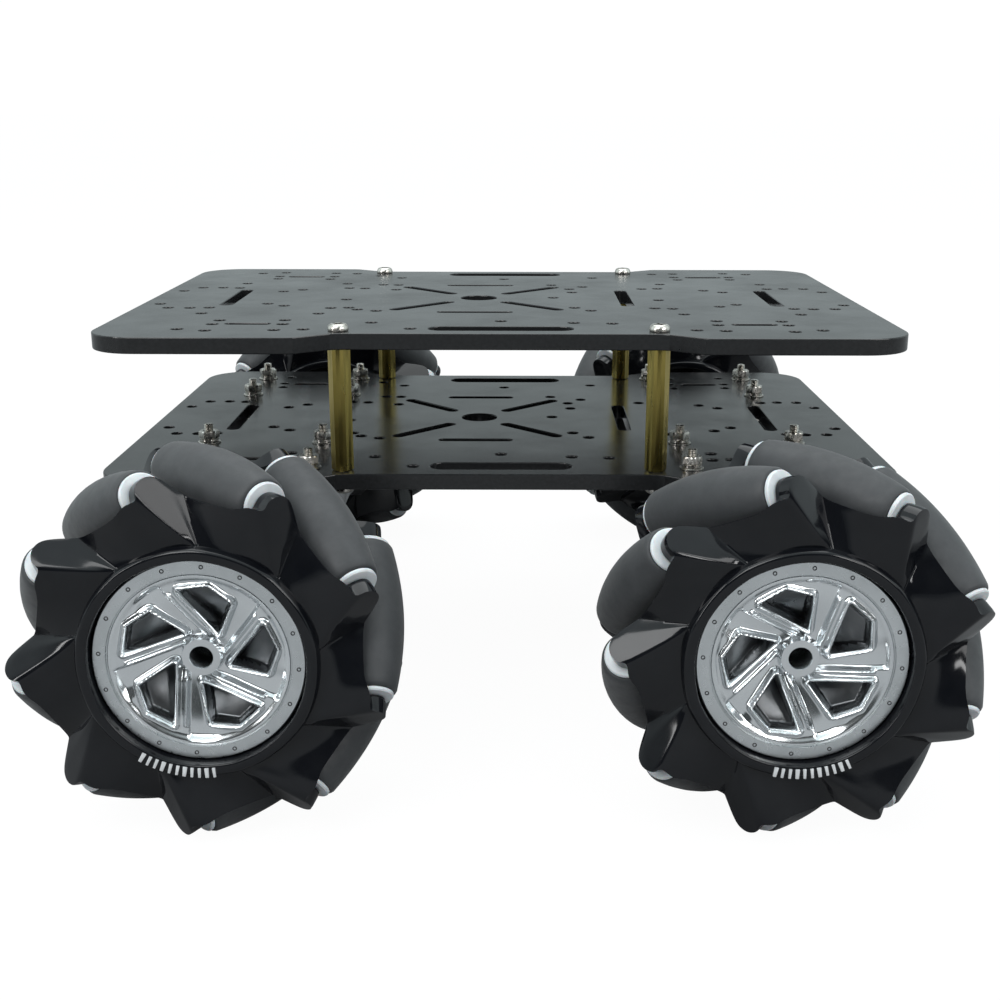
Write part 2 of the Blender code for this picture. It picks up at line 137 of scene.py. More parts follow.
def build_materials():
    found = {}
    # Black sheet of the decks: glossy, with faint polishing haze, fine dust and hairline scratches.
    m = Mat("deck_black_sheet", (0.011, 0.0115, 0.012), 0.2, IOR=1.5, Specular_IOR_Level=0.34)
    haze = m.noise(38, 5, 0.6)
    m.colour(m.noise(900, 3, 0.6), [(0.35, (0.009, 0.0095, 0.010)), (0.72, (0.014, 0.0145, 0.0155)), (0.86, (0.03, 0.03, 0.032))])
    m.roughness(haze, 0.15, 0.27)
    m.bump(m.noise(26, 2, 0.5), 0.05, 0.0006)
    m.bump(m.noise(700, 2, 0.5, (1.0, 0.05, 1.0)), 0.03, 0.00004)
    found["deck"] = m.m

    # Injection-moulded glossy black of the roller carriers.
    m = Mat("carrier_gloss_black", (0.004, 0.0043, 0.0055), 0.07, IOR=1.52, Specular_IOR_Level=0.3)
    m.colour(m.noise(160, 4, 0.6), [(0.3, (0.0035, 0.004, 0.0055)), (0.75, (0.006, 0.0065, 0.008))])
    m.roughness(m.noise(60, 4, 0.6), 0.05, 0.15)
    m.bump(m.noise(110, 2, 0.5), 0.10, 0.0004)
    m.bump(m.noise(1400, 2, 0.5), 0.04, 0.00004)
    found["carrier"] = m.m

    m = Mat("rim_ring_black", (0.006, 0.006, 0.007), 0.2, IOR=1.5, Specular_IOR_Level=0.3)
    m.roughness(m.noise(90, 4, 0.6), 0.14, 0.28)
    m.bump(m.noise(900, 2, 0.5), 0.05, 0.00005)
    found["inner_black"] = m.m

    # Moulded rubber barrels.
    m = Mat("roller_rubber", (0.028, 0.030, 0.033), 0.6, IOR=1.45)
    m.p.inputs["Sheen Weight"].default_value = 0.12
    m.p.inputs["Sheen Roughness"].default_value = 0.5
    m.colour(m.noise(120, 6, 0.65), [(0.3, (0.018, 0.020, 0.0225)), (0.55, (0.0255, 0.0275, 0.030)), (0.8, (0.036, 0.038, 0.042))])
    m.roughness(m.noise(300, 5, 0.6), 0.48, 0.68)
    m.bump(m.noise(2600, 3, 0.6), 0.16, 0.00006)
    m.bump(m.noise(60, 3, 0.5), 0.06, 0.0004)
    found["rubber"] = m.m

    # White nylon bushes at the rollers' ends.
    m = Mat("bush_nylon", (0.52, 0.55, 0.57), 0.4, IOR=1.5)
    m.p.inputs["Subsurface Weight"].default_value = 0.15
    m.p.inputs["Subsurface Scale"].default_value = 0.002
    m.colour(m.noise(300, 4, 0.6), [(0.3, (0.46, 0.49, 0.51)), (0.6, (0.56, 0.59, 0.61))])
    m.bump(m.noise(1800, 2, 0.5), 0.08, 0.00005)
    found["bush"] = m.m

    # Bright plating on the rim inserts.
    m = Mat("rim_plating", (0.5, 0.52, 0.53), 0.2, 1.0)
    m.colour(m.noise(45, 4, 0.55), [(0.3, (0.64, 0.665, 0.68)), (0.7, (0.73, 0.755, 0.77))])
    m.roughness(m.noise(170, 5, 0.6), 0.15, 0.26)
    m.bump(m.noise(420, 2, 0.5), 0.03, 0.00008)
    found["plating"] = m.m

    # Bright silver for the ribs low on each lip: a painted glint, standing in for highlights on the glossy black lip.
    m = Mat("lip_mark_silver", (0.8, 0.81, 0.82), 0.3, 0.6)
    m.colour(m.noise(300, 4, 0.55), [(0.3, (0.72, 0.73, 0.74)), (0.7, (0.86, 0.87, 0.88))])
    m.bump(m.noise(1500, 2, 0.5), 0.05, 0.00005)
    found["lip_mark"] = m.m

    # The sunk floors of the rim's windows are the same plating, dulled and darkened as painted shade in the recesses.
    m = Mat("rim_window_floor_painted_shade", (0.12, 0.125, 0.13), 0.32, 1.0)
    m.colour(m.noise(90, 4, 0.55), [(0.3, (0.09, 0.095, 0.10)), (0.7, (0.16, 0.165, 0.17))])
    m.roughness(m.noise(200, 5, 0.6), 0.26, 0.38)
    m.bump(m.noise(600, 2, 0.5), 0.03, 0.00008)
    found["window"] = m.m

    m = Mat("rim_band_satin", (0.55, 0.57, 0.59), 0.3, 1.0)
    m.colour(m.noise(70, 4, 0.55), [(0.3, (0.54, 0.565, 0.575)), (0.7, (0.62, 0.645, 0.66))])
    m.roughness(m.noise(500, 4, 0.6), 0.24, 0.38)
    m.bump(m.noise(1500, 2, 0.5), 0.06, 0.00005)
    found["band"] = m.m

    # Turned brass standoffs: a brushed grain round the hexagon and slightly darker patches.
    m = Mat("standoff_brass", (0.66, 0.46, 0.13), 0.26, 1.0)
    m.colour(m.noise(90, 4, 0.5, (1, 1, 0.25)), [(0.3, (0.42, 0.33, 0.09)), (0.75, (0.54, 0.43, 0.13))])
    m.roughness(m.noise(160, 4, 0.5, (1, 1, 0.3)), 0.22, 0.34)
    m.bump(m.noise(500, 3, 0.6, (0.15, 0.15, 6.0)), 0.14, 0.00005)
    found["brass"] = m.m

    # Nickel-plated screws, nuts and washers.
    m = Mat("fastener_nickel", (0.60, 0.58, 0.54), 0.26, 1.0)
    m.colour(m.noise(320, 5, 0.6), [(0.3, (0.42, 0.40, 0.36)), (0.6, (0.62, 0.60, 0.56)), (0.85, (0.74, 0.73, 0.70))])
    m.roughness(m.noise(700, 4, 0.6), 0.18, 0.38)
    m.bump(m.noise(1600, 3, 0.6), 0.12, 0.00004)
    found["nickel"] = m.m

    m = Mat("motor_can", (0.56, 0.57, 0.58), 0.34, 1.0)
    m.colour(m.noise(70, 5, 0.6), [(0.3, (0.45, 0.46, 0.47)), (0.7, (0.62, 0.63, 0.64))])
    m.roughness(m.noise(240, 4, 0.6, (1, 8, 1)), 0.26, 0.44)
    m.bump(m.noise(420, 3, 0.6, (1, 12, 1)), 0.08, 0.00005)
    found["can"] = m.m

    m = Mat("gearbox_zinc", (0.42, 0.42, 0.43), 0.42, 1.0)
    m.colour(m.noise(120, 5, 0.65), [(0.3, (0.34, 0.34, 0.35)), (0.7, (0.50, 0.50, 0.51))])
    m.roughness(m.noise(500, 4, 0.6), 0.34, 0.52)
    m.bump(m.noise(900, 4, 0.6), 0.2, 0.00008)
    found["gearbox"] = m.m

    m = Mat("motor_end_plastic", (0.02, 0.02, 0.022), 0.45)
    m.roughness(m.noise(400, 4, 0.6), 0.38, 0.55)
    m.bump(m.noise(1800, 3, 0.6), 0.15, 0.00005)
    found["endcap"] = m.m

    m = Mat("bracket_anodised", (0.018, 0.018, 0.02), 0.42, 0.35)
    m.colour(m.noise(200, 5, 0.6), [(0.3, (0.014, 0.014, 0.016)), (0.75, (0.026, 0.026, 0.029))])
    m.roughness(m.noise(350, 4, 0.6), 0.34, 0.52)
    m.bump(m.noise(2200, 3, 0.6), 0.2, 0.00005)
    found["bracket"] = m.m

    m = Mat("copper_terminal", (0.72, 0.42, 0.22), 0.32, 1.0)
    m.roughness(m.noise(500, 4, 0.6), 0.26, 0.42)
    found["terminal"] = m.m

    # A pale paper floor, lit evenly from below like a product table, so it looks white with a faint shadow.
    m = Mat("studio_floor", (0.26, 0.26, 0.265), 0.8)
    m.colour(m.noise(3, 3, 0.5), [(0.3, (0.25, 0.25, 0.255)), (0.7, (0.27, 0.27, 0.275))])
    m.bump(m.noise(500, 3, 0.5), 0.02, 0.0001)
    glow = m.t.nodes.new("ShaderNodeEmission")
    glow.inputs["Strength"].default_value = 1.12
    ray = m.t.nodes.new("ShaderNodeLightPath")
    part = m.t.nodes.new("ShaderNodeMath")
    part.operation = "MULTIPLY"
    part.inputs[1].default_value = 0.86
    m.t.links.new(ray.outputs["Is Camera Ray"], part.inputs[0])
    mix = m.t.nodes.new("ShaderNodeMixShader")
    m.t.links.new(part.outputs[0], mix.inputs[0])
    m.t.links.new(m.p.outputs[0], mix.inputs[1])
    m.t.links.new(glow.outputs[0], mix.inputs[2])
    m.t.links.new(mix.outputs[0], m.t.nodes["Material Output"].inputs["Surface"])
    found["floor"] = m.m
    return found


M = build_materials()
COLLECTION = bpy.context.scene.collection


# ------------------------------------------------------------------ mesh helpers
def put(name, verts, faces, mat, body, matrix=None, smooth=32.0, creases=None, levels=0, slot=None, bevel=0.0, segments=2, extra=()):
    """Makes an object from points in millimetres, finishes it, and makes it ride on its body."""
    mesh = bpy.data.meshes.new(name)
    mesh.from_pydata([tuple(v) for v in verts], [], [tuple(f) for f in faces])
    mats = [mat, *extra]
    for one in mats:
        mesh.materials.append(one)
    bm = bmesh.new()
    bm.from_mesh(mesh)
    bmesh.ops.recalc_face_normals(bm, faces=bm.faces)
    bmesh.ops.scale(bm, vec=(MM, MM, MM), verts=bm.verts)
    if creases:
        layer = bm.edges.layers.float.get("crease_edge") or bm.edges.layers.float.new("crease_edge")
        bm.verts.ensure_lookup_table()
        for (a, b), value in creases.items():
            edge = bm.edges.get((bm.verts[a], bm.verts[b]))
            if edge is not None:
                edge[layer] = value
    bm.to_mesh(mesh)
    bm.free()
    obj = bpy.data.objects.new(name, mesh)
    COLLECTION.objects.link(obj)
    if bevel:
        mod = obj.modifiers.new("bevel", "BEVEL")
        mod.width = bevel * MM
        mod.segments = segments
        mod.limit_method = "ANGLE"
        mod.angle_limit = math.radians(32)
        mod.harden_normals = False
    if levels:
        mod = obj.modifiers.new("subd", "SUBSURF")
        mod.levels = mod.render_levels = levels
        mod.use_creases = True
    if bevel or levels:
        bake(obj)
    finish_normals(obj, smooth)
    if matrix is not None:
        obj.data.transform(matrix)
    if body:
        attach(obj, body)
    return obj


def bake(obj):
    bpy.context.view_layer.update()
    graph = bpy.context.evaluated_depsgraph_get()
    mesh = bpy.data.meshes.new_from_object(obj.evaluated_get(graph))
    obj.modifiers.clear()
    old = obj.data
    obj.data = mesh
    bpy.data.meshes.remove(old)


def finish_normals(obj, smooth):
    obj.data.shade_smooth()
    obj.data.set_sharp_from_angle(angle=math.radians(smooth))


def copy_of(source, name, body, matrix):
    """Another piece of the same shape. Its points are in the row frame and its origin is on the row's."""
    mesh = source.data.copy()
    mesh.name = name
    mesh.transform(matrix)
    obj = bpy.data.objects.new(name, mesh)
    COLLECTION.objects.link(obj)
    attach(obj, body)
    return obj


def lathe(profile, sides, closed=False):
    """Turns (r, z) points about Z. An open profile is capped at its ends; a closed one makes a ring."""
    verts, faces = [], []
    n = len(profile)
    for r, z in profile:
        for i in range(sides):
            t = 2 * math.pi * i / sides
            verts.append((r * math.cos(t), r * math.sin(t), z))
    for k in range(n if closed else n - 1):
        a, b = k * sides, ((k + 1) % n) * sides
        for i in range(sides):
            j = (i + 1) % sides
            faces.append((a + i, a + j, b + j, b + i))
    if not closed:
        faces.append(tuple(range(sides))[::-1])
        faces.append(tuple((n - 1) * sides + i for i in range(sides)))
    return verts, faces


def joined(*parts):
    verts, faces = [], []
    for v, f in parts:
        base = len(verts)
        verts += [tuple(p) for p in v]
        faces += [tuple(i + base for i in face) for face in f]
    return verts, faces


def moved(part, matrix):
    v, f = part
    return [tuple(matrix @ Vector(p)) for p in v], f


def prism(outline, low, high):
    n = len(outline)
    verts = [(x, y, low) for x, y in outline] + [(x, y, high) for x, y in outline]
    faces = [tuple(range(n))[::-1], tuple(range(n, 2 * n))]
    faces += [(i, (i + 1) % n, n + (i + 1) % n, n + i) for i in range(n)]
    return verts, faces


def circle(cx, cy, r, sides, turn=0.0):
    return [(cx + r * math.cos(turn + 2 * math.pi * i / sides), cy + r * math.sin(turn + 2 * math.pi * i / sides)) for i in range(sides)]


def place(x, y, z, turn=None):
    m = Matrix.Translation((x * MM, y * MM, z * MM))
    return m @ turn if turn is not None else m


# ------------------------------------------------------------------ the deck plates
def plate_outline():
    hx, hy, waist, x_in, x_out, rc = 114.0, 82.0, 74.5, 46.2, 55.5, 14.0
    quarter = []
    for i in range(13):
        t = math.pi / 2 * i / 12
        quarter.append((hx - rc + rc * math.cos(t), hy - rc + rc * math.sin(t)))
    # The step down to the waist has small rounded corners.
    quarter += [(x_out + 2.2, hy), (x_out + 0.5, hy - 0.4), (x_in - 0.4 + 1.0, waist + 0.55), (x_in - 1.6, waist)]
    left = [(-x, y) for x, y in reversed(quarter)]
    top = quarter + left
    return [(x + PLATE_SHIFT, y) for x, y in top + [(-x, -y) for x, y in top]]


def slot_outline(a, b, width, steps=12):
    a, b = Vector(a), Vector(b)
    along = (b - a).normalized()
    r = width / 2
    a, b = a + along * r, b - along * r
    turn = math.atan2(along.y, along.x)
    points = []
    for centre, start in ((b, turn - math.pi / 2), (a, turn + math.pi / 2)):
        for i in range(steps + 1):
            t = start + math.pi * i / steps
            points.append((centre.x + r * math.cos(t), centre.y + r * math.sin(t)))
    return points


def plate_holes():
    loops = []
    four = (
        (108.3, 16.0), (103.7, 24.6), (96.9, 24.8), (91.0, 24.2), (82.8, 57.9), (82.2, 50.6), (82.4, 69.6),
        (74.4, 15.1), (68.5, 19.6), (63.3, 68.4), (62.6, 57.6), (63.2, 50.0), (53.2, 24.4), (47.7, 23.6),
    )
    points = [(sx * x, sy * y) for x, y in four for sx in (1, -1) for sy in (1, -1)]
    for sx, sy in CORNERS.values():
        for dx in (-BRACKET_X, BRACKET_X):
            for y in BRACKET_Y:
                points.append((sx * WHEELBASE / 2 + dx, sy * y))
        loops.append(circle(sx * STANDOFF_X + STANDOFF_SHIFT, sy * STANDOFF_Y, 1.6, 24))
    points += [(50.7, -4.8), (-50.7, -4.8)]
    for x, y in ((0.0, 51.0), (32.3, 55.2), (-37.5, 54.2), (22.7, 22.8), (27.5, 29.0)):
        points += [(x, y), (x, -y)]
    points += [
        (-45.7, 60.2), (21.2, -54.0), (-25.4, -65.4), (16.6, 0.6), (-44.6, -27.6), (-38.5, -30.4),
        (-42.3, 33.8), (-37.0, 33.4), (-36.7, 20.4), (16.8, 33.8), (23.3, 14.2),
    ]
    for x, y in points:
        loops.append(circle(x + PLATE_SHIFT, y, 1.75, 24))
    loops.append(circle(-8.8, 0.0, 5.9, 40))
    for y in (65.0, -65.0):
        loops.append(slot_outline((-21.4, y), (19.8, y), 7.8, 12))
    for x in (87.2, -87.2, 39.8):
        loops.append(slot_outline((x + PLATE_SHIFT, -19.2), (x + PLATE_SHIFT, 19.2), 4.1))
    for sx in (1, -1):
        for sy in (1, -1):
            loops.append(slot_outline((sx * 73.0 - 7.4, sy * 57.0), (sx * 73.0 + 5.8, sy * 57.0), 3.3))
    for sy in (1, -1):
        loops.append(slot_outline((-20.7, sy * 32.6), (2.4, sy * 32.6), 3.2))
        loops.append(slot_outline((-35.1, sy * 28.6), (-17.0, sy * 9.3), 3.8))
        loops.append(slot_outline((-1.0, sy * 9.3), (17.6, sy * 28.2), 3.8))
    return loops


def deck_plate(name, node, top):
    """A flat plate with every hole, and a small bevel on all its edges."""
    bevel = 0.28
    curve = bpy.data.curves.new(name, "CURVE")
    curve.dimensions = "2D"
    curve.fill_mode = "BOTH"
    for loop in [plate_outline()] + plate_holes():
        spline = curve.splines.new("POLY")
        spline.points.add(len(loop) - 1)
        for point, (x, y) in zip(spline.points, loop):
            point.co = (x * MM, y * MM, 0, 1)
        spline.use_cyclic_u = True
    curve.extrude = (PLATE_T / 2 - bevel) * MM
    curve.bevel_depth = bevel * MM
    curve.bevel_resolution = 1
    curve.offset = -bevel * MM
    scratch = bpy.data.objects.new(name + "_curve", curve)
    COLLECTION.objects.link(scratch)
    bpy.context.view_layer.update()
    graph = bpy.context.evaluated_depsgraph_get()
    mesh = bpy.data.meshes.new_from_object(scratch.evaluated_get(graph))
    bpy.data.objects.remove(scratch)
    mesh.name = name
    bm = bmesh.new()
    bm.from_mesh(mesh)
    bmesh.ops.remove_doubles(bm, verts=bm.verts, dist=2e-6)
    bmesh.ops.dissolve_degenerate(bm, edges=bm.edges, dist=1e-6)
    bmesh.ops.recalc_face_normals(bm, faces=bm.faces)
    bm.to_mesh(mesh)
    bm.free()
    mesh.materials.clear()
    mesh.materials.append(M["deck"])
    obj = bpy.data.objects.new(name, mesh)
    COLLECTION.objects.link(obj)
    finish_normals(obj, 18)
    obj.data.transform(place(0, 0, top - PLATE_T / 2))
    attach(obj, "chassis")
    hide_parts(node)
    return obj


deck_plate("deck_plate_upper", "upper_plate", UPPER_TOP)
deck_plate("deck_plate_lower", "lower_plate", LOWER_TOP)


# ------------------------------------------------------------------ fasteners
def cross_recess_head(r_head, height, r_shank, length):
    """A turned pan-head screw, its shank pointing down -Z; screw_object cuts its cross recess. The underside of the
    head is z = 0.
    """
    profile = [(0.02, -length), (r_shank - 0.3, -length), (r_shank, -length + 0.35), (r_shank, 0.0), (r_head - 0.15, 0.0), (r_head, 0.25)]
    for i in range(1, 7):
        t = math.pi / 2 * i / 6
        profile.append((r_head - 1.1 + 1.1 * math.cos(t) if i < 6 else r_head - 1.1, 0.25 + (height - 0.25) * math.sin(t) ** 0.9))
    profile.append((0.02, height))
    return lathe(profile, 32)


def screw_object(name, r_head, height, r_shank, length):
    v, f = cross_recess_head(r_head, height, r_shank, length)
    screw = put(name, v, f, M["nickel"], None, smooth=38)
    arms = joined(
        moved(prism([(-1.75, -0.42), (1.75, -0.42), (1.75, 0.42), (-1.75, 0.42)], 0, 3), Matrix.Translation((0, 0, height - 1.2))),
    )
    both = []
    for turn in (0, math.pi / 2):
        v2, f2 = moved(arms, Matrix.Rotation(turn, 4, "Z"))
        cutter = put(name + "_cut%d" % (turn > 0), v2, f2, M["nickel"], None)
        both.append(cutter)
        mod = screw.modifiers.new("cut", "BOOLEAN")
        mod.operation = "DIFFERENCE"
        mod.solver = "EXACT"
        mod.object = cutter
    bake(screw)
    for cutter in both:
        bpy.data.objects.remove(cutter)
    finish_normals(screw, 38)
    return screw


def thread(r, length, pitch=0.5, sides=20):
    """A threaded shank as rings of small ridges, with a chamfered tip at the top."""
    profile = [(0.02, 0.0), (r - 0.28, 0.0)]
    z = 0.05
    while z < length - 0.5:
        profile += [(r, z + pitch * 0.3), (r, z + pitch * 0.45), (r - 0.26, z + pitch * 0.9)]
        z += pitch
    profile += [(r - 0.3, length - 0.15), (r - 0.55, length), (0.02, length)]
    return lathe(profile, sides)


def hex_nut(af, height, bore):
    """A hexagonal nut with its corners rounded off by a cone at both faces."""
    rc = af / math.sqrt(3)
    outline = circle(0, 0, rc, 6, math.pi / 6)
    sides = 48
    verts, faces = [], []
    rings = []

    def hex_radius(t):
        t = (t + math.pi / 6) % (math.pi / 3) - math.pi / 6
        return (af / 2) / math.cos(t)

    levels = []
    chamfer = 0.34
    for k, (z, cap) in enumerate(((0, af / 2 - 0.05), (chamfer, rc + 0.01), (height - chamfer, rc + 0.01), (height, af / 2 - 0.05))):
        ring = []
        for i in range(sides):
            t = 2 * math.pi * i / sides
            r = min(hex_radius(t), cap)
            ring.append((r * math.cos(t), r * math.sin(t), z))
        levels.append(ring)
    levels.append([(( bore + 0.3) * math.cos(2 * math.pi * i / sides), (bore + 0.3) * math.sin(2 * math.pi * i / sides), height) for i in range(sides)])
    levels.append([(bore * math.cos(2 * math.pi * i / sides), bore * math.sin(2 * math.pi * i / sides), height - 0.3) for i in range(sides)])
    levels.append([(bore * math.cos(2 * math.pi * i / sides), bore * math.sin(2 * math.pi * i / sides), 0.0) for i in range(sides)])
    for ring in levels:
        verts += ring
    n = len(levels)
    for k in range(n):
        a, b = k * sides, ((k + 1) % n) * sides
        for i in range(sides):
            j = (i + 1) % sides
            faces.append((a + i, a + j, b + j, b + i))
    return verts, faces


def washer(r_out, r_in, t):
    return lathe([(r_in, 0), (r_out - 0.12, 0), (r_out, 0.12), (r_out, t - 0.12), (r_out - 0.12, t), (r_in, t)], 36, closed=True)


def split_washer(r_out, r_in, t):
    """A spring washer: nearly a full ring whose two ends stand a little apart."""
    verts, faces = [], []
    steps = 40
    for i in range(steps + 1):
        a = math.radians(6) + (2 * math.pi - math.radians(12)) * i / steps
        lift = 0.25 * i / steps
        for r, z in ((r_in, 0), (r_out, 0), (r_out, t), (r_in, t)):
            verts.append((r * math.cos(a), r * math.sin(a), z + lift))
    for i in range(steps):
        for k in range(4):
            a, b = i * 4 + k, i * 4 + (k + 1) % 4
            faces.append((a, b, b + 4, a + 4))
    faces.append((0, 3, 2, 1))
    last = steps * 4
    faces.append((last, last + 1, last + 2, last + 3))
    return verts, faces


deck_screw = screw_object("deck_screw_master", 2.95, 2.0, 1.45, 6.0)
bracket_screw = screw_object("bracket_screw_master", 2.85, 1.9, 1.45, 7.0)
nut_mesh = put("nut_master", *hex_nut(5.5, 2.4, 1.5), M["nickel"], None, smooth=28)
washer_mesh = put("washer_master", *washer(3.5, 1.6, 0.5), M["nickel"], None, smooth=40)
spring_mesh = put("spring_washer_master", *split_washer(2.9, 1.65, 0.7), M["nickel"], None, smooth=40)
tip_mesh = put("thread_master", *thread(1.46, 6.6), M["nickel"], None, smooth=24)
masters = [deck_screw, bracket_screw, nut_mesh, washer_mesh, spring_mesh, tip_mesh]

flip = Matrix.Rotation(math.pi, 4, "X")
for n, (corner, (sx, sy)) in enumerate(CORNERS.items()):
    x, y = sx * STANDOFF_X + STANDOFF_SHIFT, sy * STANDOFF_Y
    turn = Matrix.Rotation(math.radians(20 + 37 * n), 4, "Z")
    copy_of(deck_screw, "deck_screw_upper_" + corner, "chassis", place(x, y, UPPER_TOP + 0.02, turn))
    copy_of(deck_screw, "deck_screw_lower_" + corner, "chassis", place(x, y, LOWER_TOP - PLATE_T - 0.02, flip @ turn))
    for k, (dx, by) in enumerate(((a, b) for a in (-BRACKET_X, BRACKET_X) for b in BRACKET_Y)):
        bx, byy = sx * WHEELBASE / 2 + dx + PLATE_SHIFT, sy * by
        tag = "%s_%d" % (corner, k + 1)
        turn = Matrix.Rotation(math.radians(13 + 47 * k + 29 * n), 4, "Z")
        copy_of(washer_mesh, "bracket_washer_" + tag, "chassis", place(bx, byy, LOWER_TOP + 0.02))
        copy_of(spring_mesh, "bracket_spring_washer_" + tag, "chassis", place(bx, byy, LOWER_TOP + 0.54, turn))
        copy_of(nut_mesh, "bracket_nut_" + tag, "chassis", place(bx, byy, LOWER_TOP + 1.45, turn))
        copy_of(tip_mesh, "bracket_screw_tip_" + tag, "chassis", place(bx, byy, LOWER_TOP - 0.6))
        copy_of(bracket_screw, "bracket_screw_" + tag, "chassis", place(bx, byy, LOWER_TOP - PLATE_T - 0.3 - 2.5 - 0.02, flip @ turn))


# ------------------------------------------------------------------ hex standoffs
def standoff_mesh(af, low, high):
    rc = af / math.sqrt(3)
    sides = 48

    def hex_radius(t):
        t = (t + math.pi / 6) % (math.pi / 3) - math.pi / 6
        return (af / 2) / math.cos(t)

    levels = []
    for z, cap in ((low, af / 2 - 0.1), (low + 0.35, rc + 1), (high - 0.35, rc + 1), (high, af / 2 - 0.1)):
        levels.append([(min(hex_radius(2 * math.pi * i / sides), cap) * math.cos(2 * math.pi * i / sides), min(hex_radius(2 * math.pi * i / sides), cap) * math.sin(2 * math.pi * i / sides), z) for i in range(sides)])
    verts = [p for ring in levels for p in ring]
    faces = []
    for k in range(3):
        for i in range(sides):
            j = (i + 1) % sides
            faces.append((k * sides + i, k * sides + j, (k + 1) * sides + j, (k + 1) * sides + i))
    faces.append(tuple(range(sides))[::-1])
    faces.append(tuple(3 * sides + i for i in range(sides)))
    return verts, faces


for n, (corner, (sx, sy)) in enumerate(CORNERS.items()):
    v, f = standoff_mesh(5.5, LOWER_TOP + 0.02, UPPER_TOP - PLATE_T - 0.02)
    turn = Matrix.Rotation(math.radians(30), 4, "Z")
    obj = put("brass_standoff_" + corner, v, f, M["brass"], "chassis", place(sx * STANDOFF_X + STANDOFF_SHIFT, sy * STANDOFF_Y, 0, turn), smooth=20, slot="standoff")
    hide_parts("standoff_" + corner)


# ------------------------------------------------------------------ motor brackets
def bracket_parts():
    """The base of the L bracket about the motor's axis, +Y pointing out of the robot, as a flat prism."""
    top = LOWER_TOP - PLATE_T - 0.3
    t = 2.5
    base = [(-22, 31.0), (22, 31.0), (22, BRACKET_FACE), (-22, BRACKET_FACE)]
    verts, faces = prism(base, top - t, top)
    return verts, faces


def bracket_object(corner, matrix):
    top = LOWER_TOP - PLATE_T - 0.3
    # Side profile, extruded across, then the base's corners rounded and the face tapered.
    profile = []
    for i in range(7):
        a = math.pi / 2 * i / 6
        profile.append((BRACKET_FACE - 1.8 + 1.8 * math.cos(a), top - 1.8 + 1.8 * math.sin(a)))
    profile += [(31.0, top), (31.0, top - 2.5), (BRACKET_FACE - 2.5 - 1.2, top - 2.5), (BRACKET_FACE - 2.5 - 0.35, top - 2.85), (BRACKET_FACE - 2.5, top - 3.7), (BRACKET_FACE - 2.5, 28.5), (BRACKET_FACE, 28.5)]
    n = len(profile)
    verts = [(-22.0, y, z) for y, z in profile] + [(22.0, y, z) for y, z in profile]
    faces = [tuple(range(n)), tuple(range(n, 2 * n))[::-1]]
    faces += [(i, n + i, n + (i + 1) % n, (i + 1) % n) for i in range(n)]
    obj = put("motor_bracket_detail_" + corner, verts, faces, M["bracket"], None, bevel=0.35, segments=2)
    cutters = []

    def cut(part, m=Matrix()):
        v, f = moved(part, m)
        c = put("bracket_cut", v, f, M["bracket"], None)
        cutters.append(c)
        mod = obj.modifiers.new("cut", "BOOLEAN")
        mod.operation = "DIFFERENCE"
        mod.solver = "EXACT"
        mod.object = c

    lay = Matrix.Rotation(math.radians(-90), 4, "X")
    shift = PLATE_SHIFT * (1 if corner[1] == "l" else -1)
    holes = [prism(circle(x + shift, y, 1.65, 20), top - 6, top + 3) for x in (-BRACKET_X, BRACKET_X) for y in BRACKET_Y]
    cut(joined(*holes))
    cut(prism(circle(0, 0, 6.6, 36), -6, 6), Matrix.Translation((0, BRACKET_FACE - 1, AXLE_Z)) @ lay)
    small = [prism(circle(15.5 * math.cos(a), 15.5 * math.sin(a), 1.65, 18), -6, 6) for a in [math.radians(30 + 60 * i) for i in range(6)]]
    cut(joined(*small), Matrix.Translation((0, BRACKET_FACE - 1, AXLE_Z)) @ lay)
    # The lower corners of the upright face are cut off at a slant.
    wedges = []
    for s in (1, -1):
        outline = [(s * 23.5, 26.0), (s * 23.5, 38.0), (s * 12.0, 26.0)]
        if s > 0:
            outline = outline[::-1]
        wedges.append(prism(outline[::-1], -6, 6))
    cut(joined(*wedges), Matrix.Translation((0, BRACKET_FACE - 1, 0)) @ Matrix.Rotation(math.radians(90), 4, "X"))
    bake(obj)
    for c in cutters:
        bpy.data.objects.remove(c)
    finish_normals(obj, 32)
    obj.data.transform(matrix)
    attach(obj, "chassis")
    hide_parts("motor_bracket_" + corner)
    return obj


